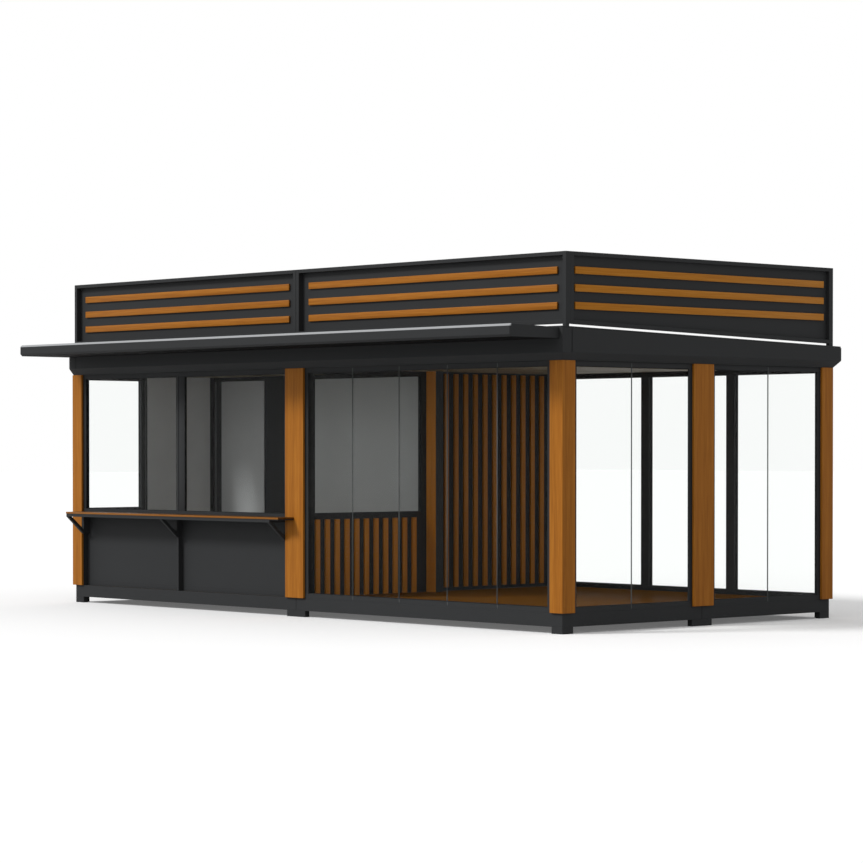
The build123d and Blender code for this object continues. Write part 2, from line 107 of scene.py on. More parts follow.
# Folding glass: seals between the panes, slim pivots over the tracks and rubber at the edges
PANE_SEAL = 6 * MM
SEAL_PROUD = 1 * MM
PIVOT = 6 * MM
PIVOT_PROUD = 2 * MM
PIVOT_SHIFT = {X: 27 * MM, Y: -23 * MM}
PIVOT_ABOVE_FLOOR = 14 * MM
PIVOT_BELOW_ROOF = 12 * MM
GASKET = 8 * MM
GASKET_PROUD = 4 * MM

# Serving room: grey strips that paint the highlights on dark frames, given from the edge of the piece they lie
# against, and the overlap of the two sashes
HIGHLIGHT_STRIP_DEPTH = 5 * MM
LEFT_WINDOW_STRIP = (52 * MM, 70 * MM)
CROSS_WALL_STRIP = (22 * MM, 56 * MM)
LEFT_STILE_CUT = 28 * MM
RIGHT_STILE_GROWTH = 62 * MM

# Counter: a board with its edging, on a tray
COUNTER_BOARD = 20 * MM
COUNTER_EDGING = 5 * MM
EDGING_DROP = 1 * MM
BOARD_SETBACK = 3 * MM
TRAY_SETBACK = 4 * MM
TRAY_INSET = 2 * MM

# Roof and canopy
ROOF_FALL = 0.025
FLASHING = 16 * MM
FLASHING_INSET = 4 * MM
MEMBRANE_WIDTH = 1.0
MEMBRANE_LAP = 70 * MM
LAP_RISE = 4 * MM
LAP_SUNK = 3 * MM
FASCIA_CHAMFER = 72 * MM
FASCIA_JOINT_X = -3.900
FASCIA_JOINT = 14 * MM
FASCIA_JOINT_HEAD = 110 * MM
CORNER_JOINT = 8 * MM
CORNER_JOINT_FROM_FRONT = 130 * MM
CORNER_JOINT_HEAD = 6 * MM
JOINT_DEPTH = 4 * MM
JOINT_PROUD = 1 * MM
SOFFIT_MARGIN = 4 * MM
SOFFIT_FRONT_MARGIN = 24 * MM
SOFFIT_DROP = 1.5 * MM

# Parapet stiffeners, covers of the wall joints and plugs in the post cladding
STIFFENER_WIDTH = 30 * MM
STIFFENER_DEPTH = 12 * MM
FRONT_STIFFENERS = (-3, -2, -1, 1, 2, 3)
FRONT_STIFFENER_Y = -1.6
SIDE_STIFFENERS = (-0.6, 0.4, 1.4)
LOWER_RAIL_TOP = 84 * MM
SCREEN_HEAD_GAP = 4 * MM
WALL_COVER_WIDTH = 40 * MM
WALL_COVER_DEPTH = 4 * MM
BACK_WALL_JOINTS = (-3.1, -1.1)
LEFT_WALL_JOINT = 1.26
PLUG_RADIUS = 5 * MM
PLUG_HEIGHTS = (0.32, 1.42, 2.53)
PLUG_COLUMNS = {X: (-4.020, -3.905, -0.140, 0.092, 3.857, 3.972),
                Y: (-1.665, -1.550, 0.215, 0.447, 2.212, 2.327)}

# Floor sheets and ceiling boards
SHEET_LENGTH = 1.25
FLOOR_JOINT = 3 * MM
FLOOR_JOINT_RISE = 0.5 * MM
FLOOR_JOINT_ENDS = (4 * MM, 6 * MM)
CEILING_STRIP = 24 * MM
CEILING_STRIP_DROP = 3 * MM


def linear(colour):
    """Turn an sRGB hex value into linear red, green, blue and an alpha of one."""
    value = np.array([int(colour[i:i + 2], 16) for i in (0, 2, 4)]) / 255
    value = np.where(value <= 0.04045, value / 12.92, ((value + 0.055) / 1.055) ** 2.4)
    return (*value.tolist(), 1.0)


# Materials
def add(tree, kind, sockets=None, **settings):
    """Add one shader node: settings are its properties, sockets its inputs, each a value or a link."""
    made = tree.nodes.new("ShaderNode" + kind)
    for name, value in settings.items():
        setattr(made, name, value)
    for name, value in (sockets or {}).items():
        if isinstance(value, bpy.types.NodeSocket):
            tree.links.new(value, made.inputs[name])
        else:
            made.inputs[name].default_value = value
    return made


def new_material(name):
    """Start an empty node material and return it with its tree."""
    material = bpy.data.materials.new(name)
    material.use_nodes = True
    material.node_tree.nodes.clear()
    return material, material.node_tree


def finish_material(material, tree, shader):
    """Send the shader to the material's output."""
    add(tree, "OutputMaterial", {"Surface": shader.outputs[0]})
    return material


def powder_coat(name, dark, pale, roughness=0.6, specular=0.1):
    """Polyester powder coat on steel: matt and even, with a fine orange peel and faint cloudy patches.

    The patches are about 0.8 m across. The peel is drawn about 4 mm across, coarser than the real
    millimetre, so that it shows.
    """
    patches_a_metre = 1.3
    peel_a_metre = 260.0
    material, tree = new_material(name)
    place = add(tree, "TexCoord")
    clouds = add(tree, "TexNoise", {"Vector": place.outputs["Object"], "Scale": patches_a_metre, "Detail": 3.0})
    peel = add(tree, "TexNoise", {"Vector": place.outputs["Object"], "Scale": peel_a_metre, "Detail": 2.0})
    colour = add(tree, "Mix", {"Factor": clouds.outputs["Fac"], 6: linear(dark), 7: linear(pale)},
                 data_type="RGBA")
    rough = add(tree, "MapRange", {"Value": clouds.outputs["Fac"], "To Min": roughness - 0.05,
                                   "To Max": roughness + 0.07})
    bump = add(tree, "Bump", {"Height": peel.outputs["Fac"], "Strength": 0.06, "Distance": 0.4 * MM})
    shader = add(tree, "BsdfPrincipled", {"Base Color": colour.outputs[2], "Roughness": rough.outputs[0],
                                          "Normal": bump.outputs[0], "Specular IOR Level": specular})
    return finish_material(material, tree, shader)


def timber(name, along, dark, mid, pale, roughness=0.5, grain_mm=6.0, specular=0.12):
    """Stained and oiled softwood: fine streaks along the grain, broad warm bands and a low satin sheen.

    A streak is grain_mm wide, wider than the real growth rings so that it shows, and 60 times as long.
    A band is as wide as seven streaks.
    """
    streak_length = 60
    band_width = 7
    material, tree = new_material(name)
    place = add(tree, "TexCoord")
    across = 1.0 / (grain_mm * MM)
    stretch = [across, across, across]
    stretch["XYZ".index(along)] = across / streak_length
    grain_place = add(tree, "Mapping", {"Vector": place.outputs["Object"], "Scale": stretch})
    streaks = add(tree, "TexNoise", {"Vector": grain_place.outputs[0], "Scale": 1.0, "Detail": 5.0,
                                     "Roughness": 0.6, "Distortion": 0.25})
    broad = [value / band_width for value in stretch]
    band_place = add(tree, "Mapping", {"Vector": place.outputs["Object"], "Scale": broad})
    bands = add(tree, "TexNoise", {"Vector": band_place.outputs[0], "Scale": 1.0, "Detail": 2.0})
    quiet = add(tree, "Math", {0: bands.outputs["Fac"], 1: 0.5}, operation="MULTIPLY")
    blend = add(tree, "Math", {0: streaks.outputs["Fac"], 1: quiet.outputs[0]}, operation="ADD")
    spread = add(tree, "MapRange", {"Value": blend.outputs[0], "From Min": 0.4, "From Max": 1.1})
    ramp = add(tree, "ValToRGB", {"Fac": spread.outputs[0]})
    ramp.color_ramp.elements[0].color = linear(dark)
    ramp.color_ramp.elements[1].color = linear(pale)
    ramp.color_ramp.elements.new(0.5).color = linear(mid)
    rough = add(tree, "MapRange", {"Value": streaks.outputs["Fac"], "To Min": roughness - 0.08,
                                   "To Max": roughness + 0.1})
    bump = add(tree, "Bump", {"Height": streaks.outputs["Fac"], "Strength": 0.25, "Distance": 0.5 * MM})
    shader = add(tree, "BsdfPrincipled", {"Base Color": ramp.outputs[0], "Roughness": rough.outputs[0],
                                          "Normal": bump.outputs[0], "Specular IOR Level": specular})
    return finish_material(material, tree, shader)


def varnished_floor(name):
    """Birch plywood under clear varnish: even orange brown, faint grain to the back and a thin wet gloss.

    The grain's streaks are 25 mm wide and about 0.8 m long.
    """
    grain_a_metre = (40.0, 1.2, 40.0)
    material, tree = new_material(name)
    place = add(tree, "TexCoord")
    grain_place = add(tree, "Mapping", {"Vector": place.outputs["Object"], "Scale": grain_a_metre})
    grain = add(tree, "TexNoise", {"Vector": grain_place.outputs[0], "Scale": 1.0, "Detail": 4.0})
    ramp = add(tree, "ValToRGB", {"Fac": grain.outputs["Fac"]})
    ramp.color_ramp.elements[0].color = linear(FLOOR_DARK)
    ramp.color_ramp.elements[1].color = linear(FLOOR_PALE)
    ramp.color_ramp.elements.new(0.5).color = linear(FLOOR_MID)
    rough = add(tree, "MapRange", {"Value": grain.outputs["Fac"], "To Min": 0.3, "To Max": 0.4})
    shader = add(tree, "BsdfPrincipled", {"Base Color": ramp.outputs[0], "Roughness": rough.outputs[0],
                                          "Specular IOR Level": 0.0, "Coat Weight": 0.018,
                                          "Coat Roughness": 0.08})
    return finish_material(material, tree, shader)


def clear_glass(name):
    """Toughened float glass: almost invisible from the front, with a soft gloss at a low angle."""
    material, tree = new_material(name)
    open_air = add(tree, "BsdfTransparent", {"Color": (0.985, 0.99, 0.987, 1.0)})
    shine = add(tree, "BsdfGlossy", {"Color": PLAIN_WHITE, "Roughness": 0.02})
    gloss = add(tree, "Fresnel", {"IOR": 1.2})
    share = add(tree, "Math", {0: gloss.outputs[0], 1: 0.1}, operation="MULTIPLY")
    shader = add(tree, "MixShader", {0: share.outputs[0], 1: open_air.outputs[0], 2: shine.outputs[0]})
    return finish_material(material, tree, shader)


def board(name, colour, mottle=0.06, roughness=0.6, specular=0.3):
    """Plain sheet in one colour: even and matt, with a slight mottle and a fine bump.

    The mottle is about 0.2 m across. The bump is drawn about 6 mm across, coarser than a real sheet's
    skin, so that it shows.
    """
    mottle_a_metre = 5.0
    bump_a_metre = 180.0
    material, tree = new_material(name)
    place = add(tree, "TexCoord")
    spots = add(tree, "TexNoise", {"Vector": place.outputs["Object"], "Scale": mottle_a_metre, "Detail": 4.0})
    fine = add(tree, "TexNoise", {"Vector": place.outputs["Object"], "Scale": bump_a_metre, "Detail": 2.0})
    value = add(tree, "MapRange", {"Value": spots.outputs["Fac"], "To Min": 1 - mottle, "To Max": 1 + mottle})
    tone = add(tree, "HueSaturation", {"Value": value.outputs[0], "Color": linear(colour)})
    bump = add(tree, "Bump", {"Height": fine.outputs["Fac"], "Strength": 0.08, "Distance": 0.3 * MM})
    shader = add(tree, "BsdfPrincipled", {"Base Color": tone.outputs[0], "Roughness": roughness,
                                          "Normal": bump.outputs[0], "Specular IOR Level": specular})
    return finish_material(material, tree, shader)


# Coated steel: dark and matt on the frame, and smoother on the canopy's top front edge, where a pale grey paints
# the highlight that the edge catches
steel = powder_coat("anthracite powder coat", ANTHRACITE, ANTHRACITE_PALE)
bright_trim = powder_coat("pale grey with painted edge highlight", EDGE_HIGHLIGHT_GREY, EDGE_HIGHLIGHT_GREY, roughness=0.4, specular=0.4)
# Planed softwood, stained to a warm brown and oiled: the grain runs along each board
post_timber = timber("stained post timber", "Z", TIMBER_DARK, TIMBER_MID, TIMBER_PALE)
# The inner copy of the timber is painted lighter, in place of light that the shaded room does not get
inner_timber_painted_light = timber("inner timber painted lighter", "Z", TIMBER_MID, INNER_PAINTED_LIGHT_MID, INNER_PAINTED_LIGHT_PALE)
batten_timber = timber("stained batten timber", "Z", BATTEN_DARK, BATTEN_MID, BATTEN_PALE)
front_strip_timber = timber("stained front strip timber", "X", TIMBER_DARK, TIMBER_MID, TIMBER_PALE)
# The side strips' copy is painted lighter than the front strips', in place of light that their shaded side lacks
side_strip_timber_painted_light = timber("side strip timber painted lighter", "Y", TIMBER_MID, SIDE_STRIP_PAINTED_LIGHT_MID, SIDE_STRIP_PAINTED_LIGHT_PALE)
# The counter top's timber is darkened as painted shade, for the canopy that shades the top
counter_timber_painted_shade = timber("counter timber painted darker for shade", "X", COUNTER_PAINTED_SHADE_DARK, COUNTER_PAINTED_SHADE_MID, COUNTER_PALE)
edging_timber = timber("oiled counter edging", "X", COUNTER_PALE, EDGING_MID, TIMBER_DARK)
floor_timber = varnished_floor("varnished floor plywood")
glass = clear_glass("clear float glass")
# Melamine-faced chipboard: pale, even and matt
lining = board("light grey lining board", LINING_GREY)
# The left wall's copy of the lining is painted lighter, standing for light in the shaded room
wall_lining = board("grey wall lining painted lighter", WALL_LINING_PAINTED_LIGHT)
# Painted board: beige and matt
ceiling_board = board("beige ceiling board", CEILING_BEIGE)
# Birch plywood under a matt sealer: brown, with a stronger mottle
plywood = board("sealed plywood", PLYWOOD_BROWN, mottle=0.12)
# Rolled roofing membrane: grey and dull
membrane = board("grey roof membrane", MEMBRANE_GREY, mottle=0.08, roughness=0.75)
# Extruded rubber: black with a dull sheen
rubber = board("black rubber gasket", GASKET_BLACK, mottle=0.1, roughness=0.7, specular=0.2)
# Extruded soft PVC over the dark edge of a pane: grey with a low gloss
seal = board("clear grey edge seal", SEAL_GREY, mottle=0.04, roughness=0.35, specular=0.5)
# Mid grey, matt sheet strip: its grey paints the highlights seen on dark frames
highlight_strip_board = board("grey strip painted as highlight", HIGHLIGHT_STRIP_GREY, mottle=0.04)
# Black, dull sheet under the canopy: its black is painted shade
soffit = board("black sheet painted as shade", UNDERSIDE_SHADE_BLACK, mottle=0.1, roughness=0.8, specular=0.05)

finish_of = {
    "timber": post_timber,
    "clear_glass": glass,
    "light_panel": lining,
    "beige_board": ceiling_board,
    "floor_sheet": plywood,
    "bright_trim": bright_trim,
    "anthracite_metal": steel,
}
special = {
    "seating_room_floor": floor_timber,
    # lining painted lighter, in place of light that reaches this wall
    "left_wall_lining": wall_lining,
    # timber painted lighter, for light that the room's shade takes away
    "centre_post_facing": inner_timber_painted_light,
    "roof_deck": membrane,
}
slot_of = {row["node"]: row["material_slot"] for row in frame["record"]["subparts"]}
for name, slot in slot_of.items():
    nodes[name].data.materials.clear()
    nodes[name].data.materials.append(special.get(name, finish_of[slot]))


# Shapes
def box(x, y, z):
    """Low and high corners of a block between the low and high values along each axis."""
    return (np.array([x[0], y[0], z[0]]), np.array([x[1], y[1], z[1]]))


def around(middle, width):
    """Low and high values of a width set evenly about its middle."""
    return (middle - width / 2, middle + width / 2)


def solid_boxes(name):
    """Low and high corners of each separate solid of a node.

    Corners that share a place are one point, and each triangle gives its points the smallest label among
    them until no label changes, so that every solid ends with a label of its own.
    """
    mesh = nodes[name].data
    points = np.empty(len(mesh.vertices) * 3)
    mesh.vertices.foreach_get("co", points)
    mesh.calc_loop_triangles()
    triangles = np.empty(len(mesh.loop_triangles) * 3, dtype=int)
    mesh.loop_triangles.foreach_get("vertices", triangles)
    rounded, place = np.unique(np.round(points.reshape(-1, 3), 5), axis=0, return_inverse=True)
    triangles = place.reshape(-1)[triangles].reshape(-1, 3)
    label = np.arange(len(rounded))
    while True:
        lowest = label.copy()
        np.minimum.at(lowest, triangles, label[triangles].min(axis=1, keepdims=True))
        if np.array_equal(lowest, label):
            break
        label = lowest
    return [(rounded[label == value].min(axis=0), rounded[label == value].max(axis=0))
            for value in np.unique(label)]


def runs_along(solids, axis):
    """The solids that are longer along the given axis, X or Y, than along the other one."""
    other = Y if axis == X else X
    return [(low, high) for low, high in solids if high[axis] - low[axis] > high[other] - low[other]]


def place_piece(name, mesh):
    """Make a mesh an object that rides on the kiosk, with its place in the mesh."""
    piece = bpy.data.objects.new(name, mesh)
    bpy.context.collection.objects.link(piece)
    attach(piece, "root")
    return piece


def make_piece(name, points, faces, material):
    """Put points and faces into a mesh that is smooth but for edges of over 40 degrees."""
    mesh = bpy.data.meshes.new(name)
    mesh.from_pydata(points.tolist(), [], faces)
    mesh.validate()
    mesh.polygons.foreach_set("use_smooth", [True] * len(mesh.polygons))
    mesh.set_sharp_from_angle(angle=radians(40))
    mesh.materials.append(material)
    return place_piece(name, mesh)


def ring_faces(rings, count, copies):
    """Quads between neighbouring rings of points and a cap on both end rings, for each copy of the shape.

    A point's number is the copy times the points in a copy, plus the ring times the count round a ring,
    plus the step round the ring.
    """
    step = np.arange(count)
    after = (step + 1) % count
    ring = np.arange(rings)[:, None]
    quads = np.stack([ring[:-1] * count + step, ring[:-1] * count + after,
                      ring[1:] * count + after, ring[1:] * count + step], axis=-1).reshape(-1, 4)
    faces = []
    for first in np.arange(copies) * rings * count:
        faces += (quads + first).tolist()
        faces.append((step[::-1] + first).tolist())
        faces.append((step + (rings - 1) * count + first).tolist())
    return faces


def bars(name, boxes, along, radius, material, slot, *replaced):
    """Bars with rounded edges as one piece, one for each box, that stands for the CAD nodes named last.

    Around a bar runs a rectangle whose four corners are quarter circles: corner centre plus radius times
    (cos t, sin t). Along the bar the rings close in at both ends by the same quarter circle, so that every
    arris is rounded, and a flat face shuts each end.
    """
    corner_steps = 3
    low = np.array([corners[0] for corners in boxes])
    high = np.array([corners[1] for corners in boxes])
    quarter = np.linspace(0, np.pi / 2, corner_steps)
    turn = np.concatenate([quarter + corner * np.pi / 2 for corner in range(4)])
    inset = np.concatenate([radius * (1 - np.sin(quarter)), radius * (1 - np.sin(quarter))[::-1]])
    depth = np.concatenate([radius * (1 - np.cos(quarter)), -radius * (1 - np.cos(quarter))[::-1]])
    far_end = np.repeat([0, 1], corner_steps)
    round_by = (radius - inset)[:, None]
    points = np.empty((len(boxes), len(inset), len(turn), 3))
    span = low[:, [along]] + far_end * (high - low)[:, [along]] + depth
    points[..., along] = span[:, :, None]
    first, second = (along + 1) % 3, (along + 2) % 3
    for axis, signs, wave in ((first, [1, -1, -1, 1], np.cos), (second, [1, 1, -1, -1], np.sin)):
        middle = (low[:, axis] + high[:, axis])[:, None, None] / 2
        reach = (high[:, axis] - low[:, axis])[:, None, None] / 2 - radius
        points[..., axis] = middle + np.repeat(signs, corner_steps) * reach + round_by * wave(turn)
    faces = ring_faces(len(inset), len(turn), len(boxes))
    piece = make_piece(name, points.reshape(-1, 3), faces, material)
    if replaced:
        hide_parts(*replaced)
    return piece


def sloped_bars(name, boxes, along, radius, material, slot):
    """Make bars whose height drops by the roof's fall for each metre behind the roof's front edge."""
    piece = bars(name, boxes, along, radius, material, slot)
    points = np.empty(len(piece.data.vertices) * 3)
    piece.data.vertices.foreach_get("co", points)
    points = points.reshape(-1, 3)
    points[:, Z] -= ROOF_FALL * (points[:, Y] - roof_front)
    piece.data.vertices.foreach_set("co", points.ravel())
    piece.data.update()
    return piece


def softened(name, radius):
    """Stand for a CAD node with the same solid, its corners merged and its arrises rounded by the radius."""
    build = bmesh.new()
    build.from_mesh(nodes[name].data)
    bmesh.ops.remove_doubles(build, verts=build.verts[:], dist=1e-5)
    bmesh.ops.dissolve_limit(build, angle_limit=radians(0.5), verts=build.verts[:], edges=build.edges[:])
    mesh = bpy.data.meshes.new(name + "_finished")
    build.to_mesh(mesh)
    build.free()
    mesh.polygons.foreach_set("use_smooth", [False] * len(mesh.polygons))
    mesh.materials.clear()
    mesh.materials.append(nodes[name].data.materials[0])
    piece = place_piece(name + "_finished", mesh)
    rounding = piece.modifiers.new("rounded arrises", "BEVEL")
    rounding.width = radius
    rounding.segments = 2
    rounding.limit_method = "ANGLE"
    rounding.angle_limit = radians(30)
    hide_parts(name)
    return piece


def pane_gaskets(panes, along, edge):
    """Gasket boxes at both ends of each pane along the edge axis, proud of both faces of the glass.

    Those up the sides stop short of those along the foot and head.
    """
    across = Y if along == X else X
    made = []
    for low, high in panes:
        for near, far in ((low[edge], low[edge] + GASKET), (high[edge] - GASKET, high[edge])):
            one, other = low.copy(), high.copy()
            if edge != Z:
                one[Z] += GASKET
                other[Z] -= GASKET
            one[edge], other[edge] = near, far
            one[across] -= GASKET_PROUD
            other[across] += GASKET_PROUD
            made.append((one, other))
    return made


def timber_plugs(name, places, across, side, radius, material):
    """Round plugs over the fixings, each a low dome on a flat face, one at each place.

    A dome is a surface of revolution: at the angle t above its rim the ring's radius is the plug's radius
    times cos t, and its height is a third of the radius times sin t. A small flat shuts the crown.
    """
    places = np.array(places, dtype=float)[:, None, None, :]
    turn = np.linspace(0, 2 * np.pi, 12, endpoint=False)
    rise = np.array([0.0, 0.28, 0.64, 1.0]) * np.pi / 2
    ring = radius * np.cos(rise)[:, None]
    ring[-1] = radius * 0.12
    first, second = [axis for axis in (X, Y, Z) if axis != across]
    points = np.empty((len(places), len(rise), len(turn), 3))
    points[..., first] = places[..., first] + ring * np.cos(turn)
    points[..., second] = places[..., second] + ring * np.sin(turn)
    points[..., across] = places[..., across] + side * radius / 3 * np.sin(rise)[:, None]
    piece = make_piece(name, points.reshape(-1, 3), ring_faces(len(rise), len(turn), len(places)), material)
    build = bmesh.new()
    build.from_mesh(piece.data)
    bmesh.ops.recalc_face_normals(build, faces=build.faces[:])
    build.to_mesh(piece.data)
    build.free()
    return piece


# Timber strips and slats with rounded arrises
strips = solid_boxes("parapet_strips")
bars("front_parapet_boards", runs_along(strips, X), X, 4 * MM, front_strip_timber, "timber", "parapet_strips")
# The side boards take the timber painted lighter, to offset the shade on the kiosk's side
bars("side_parapet_boards", runs_along(strips, Y), Y, 4 * MM, side_strip_timber_painted_light, "timber", "parapet_strips")
# The dado battens take the timber painted lighter, for the shade inside the room
bars("dado_battens", solid_boxes("dado_slats"), Z, 3 * MM, inner_timber_painted_light, "timber", "dado_slats")
bars("wall_battens", solid_boxes("wall_slats"), Z, 3 * MM, batten_timber, "timber", "wall_slats")

# Welded, folded and planed pieces with the small radius that coating and planing leave on their arrises
arris_mm = {
    "base_modules": 3, "base_feet": 3, "corner_posts": 2, "middle_posts": 2, "centre_post": 2,
    "corner_post_cladding": 4, "middle_post_cladding": 4, "centre_post_facing": 1.5,
    "bottom_tracks": 2, "top_tracks": 2, "window_sills": 3, "wall_mullions": 2, "glass_jambs": 2,
    "roof_beam_front": 3, "roof_beam_right": 3, "roof_beam_left": 3, "roof_beam_back": 3, "canopy": 4,
    "parapet_front_posts": 2, "parapet_side_posts": 2, "parapet_rails": 2, "counter_frame": 2,
}
for name, radius in arris_mm.items():
    softened(name, radius * MM)

# Places read from the kiosk's own pieces
front_panes = sorted(solid_boxes("front_glass_panels"), key=lambda pane: pane[0][X])
side_panes = sorted(solid_boxes("right_glass_panels"), key=lambda pane: pane[0][Y])
track_low, track_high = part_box("bottom_tracks")
head_low, head_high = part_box("top_tracks")
front, right = track_low[Y], track_high[X]
floor_level, track_top = track_low[Z], track_high[Z]
head_bottom, roof_underside = head_low[Z], head_high[Z]
between_tracks = (track_top, head_bottom)

# Seals between the folding panes, and the slim pivots that carry them over the tracks
seals = []
pivots = []
pivot_heights = ((floor_level + PIVOT_ABOVE_FLOOR, track_top), (head_bottom, roof_underside - PIVOT_BELOW_ROOF))
for one, other in zip(front_panes[:-1], front_panes[1:]):
    joint = (one[1][X] + other[0][X]) / 2
    seals.append(box(around(joint, PANE_SEAL), (one[0][Y] - SEAL_PROUD, one[1][Y] + SEAL_PROUD), between_tracks))
    pivots += [box(around(joint + PIVOT_SHIFT[X], PIVOT), (front - PIVOT_PROUD, front - PIVOT_PROUD + PIVOT),
                   heights) for heights in pivot_heights]
for one, other in (side_panes[:2], side_panes[2:]):
    joint = (one[1][Y] + other[0][Y]) / 2
    seals.append(box((one[0][X] - SEAL_PROUD, one[1][X] + SEAL_PROUD), around(joint, PANE_SEAL), between_tracks))
    pivots += [box((right + PIVOT_PROUD - PIVOT, right + PIVOT_PROUD), around(joint + PIVOT_SHIFT[Y], PIVOT),
                   heights) for heights in pivot_heights]
bars("folding_pane_seals", seals, Z, 1 * MM, seal, "bright_trim")
bars("folding_pane_pivots", pivots, Z, 1 * MM, seal, "bright_trim")

# Black rubber gaskets at the edges of every pane
fixed_panes = solid_boxes("window_glass") + solid_boxes("back_glass_panels")
for name, panes, along, edges in (("front_pane_gaskets", front_panes, X, (Z,)),
                                  ("side_pane_gaskets", side_panes, Y, (Z,)),
                                  ("fixed_front_gaskets", runs_along(fixed_panes, X), X, (Z, X)),
                                  ("fixed_side_gaskets", runs_along(fixed_panes, Y), Y, (Z, Y))):
    gaskets = [gasket for edge in edges for gasket in pane_gaskets(panes, along, edge)]
    bars(name, gaskets, along, 1.5 * MM, rubber, "anthracite_metal")

# Grey strips inside the serving room, painted highlights: one beside the left window and one on the cross wall's
# jamb
jambs = solid_boxes("wall_jambs")
frame_low, frame_high = min(jambs, key=lambda jamb: jamb[0][X])
jamb_low = max(jambs, key=lambda jamb: jamb[1][X] - jamb[0][X])[0]
bars("left_window_highlight_strip",
     [box((frame_high[X], frame_high[X] + HIGHLIGHT_STRIP_DEPTH), [frame_low[Y] + edge for edge in LEFT_WINDOW_STRIP],
          between_tracks)], Z, 1.5 * MM, highlight_strip_board, "light_panel")
bars("cross_wall_highlight_strip",
     [box([jamb_low[X] + edge for edge in CROSS_WALL_STRIP], (jamb_low[Y] - HIGHLIGHT_STRIP_DEPTH, jamb_low[Y]),
          (floor_level, head_bottom))], Z, 1.5 * MM, highlight_strip_board, "light_panel")

# Window stiles: the pair beside the serving front's mullion differ in width, as the two sashes overlap there
mullion_low, mullion_high = min(solid_boxes("wall_mullions"), key=lambda mullion: mullion[0][Y])
stiles = solid_boxes("wall_jambs")
for low, high in stiles:
    if np.isclose(high[X], mullion_low[X]):
        low[X] += LEFT_STILE_CUT
    if np.isclose(low[X], mullion_high[X]):
        high[X] += RIGHT_STILE_GROWTH
bars("window_stiles", stiles, Z, 2 * MM, steel, "anthracite_metal", "wall_jambs")

# Counter: a thin timber top, darkened as painted shade from the canopy, with a paler front edging, on a folded
# steel tray. Behind the face of the post cladding both stop short at the right, beside the middle post.
counter_low, counter_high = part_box("counter_board")
clad_low, clad_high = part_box("corner_post_cladding")
tray_top = counter_high[Z] - COUNTER_BOARD
notch = min(solid_boxes("middle_post_cladding"), key=lambda cladding: cladding[0][Y])[0][X]
board_z, tray_z = (tray_top, counter_high[Z]), (counter_low[Z], tray_top)
tray_left = counter_low[X] + TRAY_INSET
counter_top = [
    box((counter_low[X], counter_high[X]), (counter_low[Y] + BOARD_SETBACK, clad_low[Y]), board_z),
    box((counter_low[X], notch), (clad_low[Y], counter_high[Y]), board_z)]
counter_tray = [
    box((tray_left, counter_high[X] - TRAY_INSET), (counter_low[Y] + TRAY_SETBACK, clad_low[Y]), tray_z),
    box((tray_left, notch - TRAY_INSET), (clad_low[Y], counter_high[Y]), tray_z)]
counter_edging = [box((counter_low[X], counter_high[X]), (counter_low[Y], counter_low[Y] + COUNTER_EDGING),
                      (tray_top, counter_high[Z] - EDGING_DROP))]
bars("counter_top_boards", counter_top, X, 3 * MM, counter_timber_painted_shade, "timber", "counter_board")
bars("counter_tray", counter_tray, X, 2 * MM, steel, "anthracite_metal", "counter_board")
bars("counter_edging", counter_edging, X, 1.5 * MM, edging_timber, "timber")

# Roof edge flashing, membrane laps and the fine joints of the fascia
roof_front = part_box("roof_beam_front")[0][Y]
roof_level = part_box("roof_beam_front")[1][Z]
deck_low, deck_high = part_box("roof_deck")
right_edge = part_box("roof_beam_right")[1][X]
left_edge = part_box("roof_beam_left")[0][X]
edge_y = (roof_front + FLASHING_INSET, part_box("roof_beam_back")[1][Y] - FLASHING_INSET)
flashing_z = (roof_level, roof_level + FLASHING)
deck_x, deck_y = (deck_low[X], deck_high[X]), (deck_low[Y], deck_high[Y])
flashing = [
    box((deck_high[X], right_edge - FLASHING_INSET), edge_y, flashing_z),
    box((left_edge + FLASHING_INSET, deck_low[X]), edge_y, flashing_z),
    box(deck_x, (deck_high[Y], edge_y[1]), flashing_z),
    box(deck_x, (edge_y[0], deck_low[Y]), flashing_z),
]
sloped_bars("roof_edge_flashing", flashing, Y, 4 * MM, steel, "anthracite_metal")
laps = [box(around(x, MEMBRANE_LAP), deck_y, (roof_level - LAP_SUNK, roof_level + LAP_RISE))
        for x in np.arange(deck_low[X] + MEMBRANE_WIDTH, deck_high[X] - MEMBRANE_WIDTH / 2, MEMBRANE_WIDTH)]
sloped_bars("roof_membrane_laps", laps, Y, 1.5 * MM, membrane, "anthracite_metal")
chamfer_level = roof_underside + FASCIA_CHAMFER
bars("fascia_joint",
     [box(around(FASCIA_JOINT_X, FASCIA_JOINT), (roof_front - JOINT_PROUD, roof_front + JOINT_DEPTH),
          (chamfer_level, roof_level - FASCIA_JOINT_HEAD))], Z, 0.5 * MM, rubber, "anthracite_metal")
bars("fascia_corner_joint",
     [box((right_edge - JOINT_DEPTH, right_edge), around(roof_front + CORNER_JOINT_FROM_FRONT, CORNER_JOINT),
          (chamfer_level, roof_level - CORNER_JOINT_HEAD))], Z, 0.5 * MM, rubber, "anthracite_metal")

# Black sheet under the canopy, painting the shade there
canopy_low, canopy_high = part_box("canopy")
bars("canopy_soffit_painted_shade",
     [box((canopy_low[X] + SOFFIT_MARGIN, canopy_high[X] - SOFFIT_MARGIN),
          (canopy_low[Y] + SOFFIT_FRONT_MARGIN, roof_front - JOINT_PROUD),
          (canopy_low[Z] - SOFFIT_DROP, canopy_low[Z] + 1 * MM))], X, 0.5 * MM, soffit, "anthracite_metal")


def screen_span(y):
    """Heights of a stiffener at y, from just above the screen's lower rail, which follows the roof's fall."""
    return (roof_level - ROOF_FALL * (y - roof_front) + LOWER_RAIL_TOP, screen_head)


